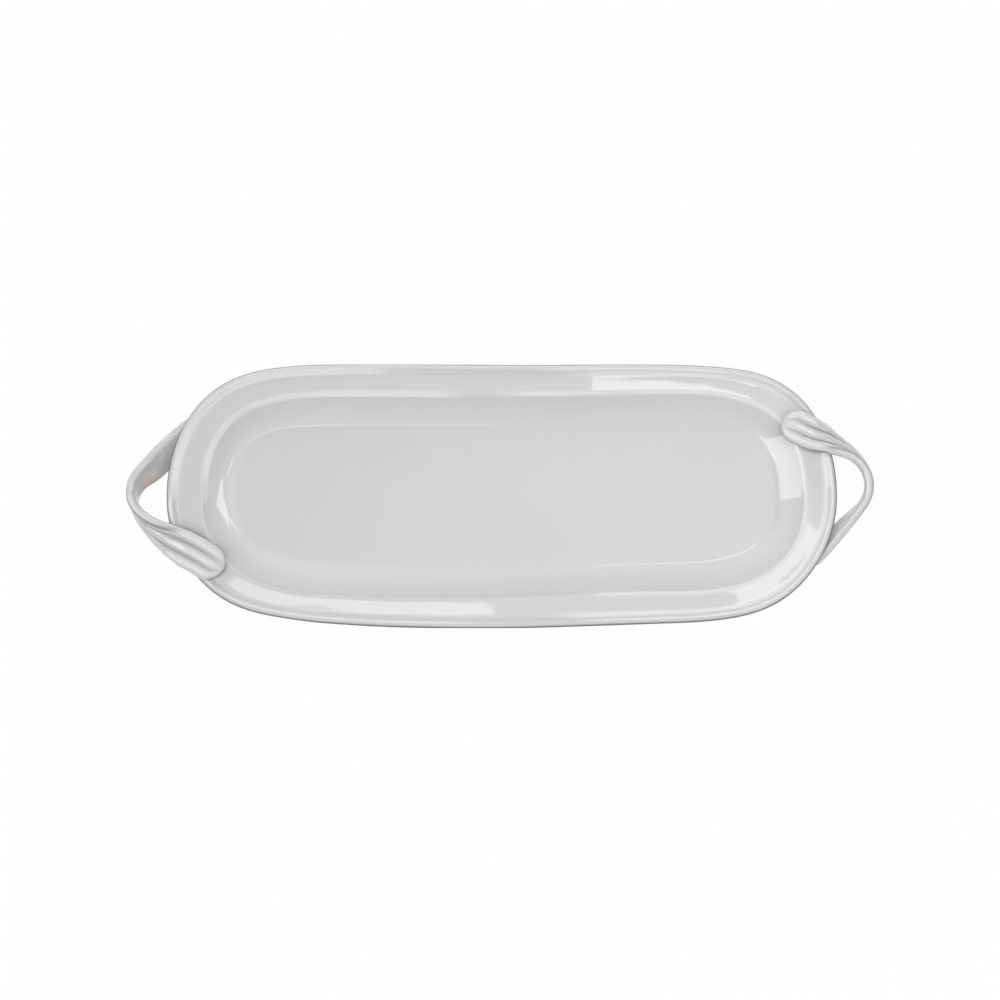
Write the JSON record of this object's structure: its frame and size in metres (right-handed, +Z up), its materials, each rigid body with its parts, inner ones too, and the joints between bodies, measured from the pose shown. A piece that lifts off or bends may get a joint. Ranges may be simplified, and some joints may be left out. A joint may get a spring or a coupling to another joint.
{
  "type": "asparagus plate",
  "caption": "Long white glazed serving platter with a shallow well, a flat rim with a raised round lip, a foot ring and a twisted ribbon handle at each end.",
  "frame": {"origin": "middle of the foot ring's resting face, on the plane that the plate stands on", "axes": "+X along the plate, +Y towards its far long side, +Z up out of the well"},
  "size_m": [0.4984, 0.1766, 0.0303],
  "materials": {
    "glaze": "gloss",
    "bare_clay": "matte"
  },
  "bodies": {
    "root": {"plate_body": "glaze", "foot_ring": "bare_clay", "left_handle": "glaze", "right_handle": "glaze"}
  },
  "joints": []
}
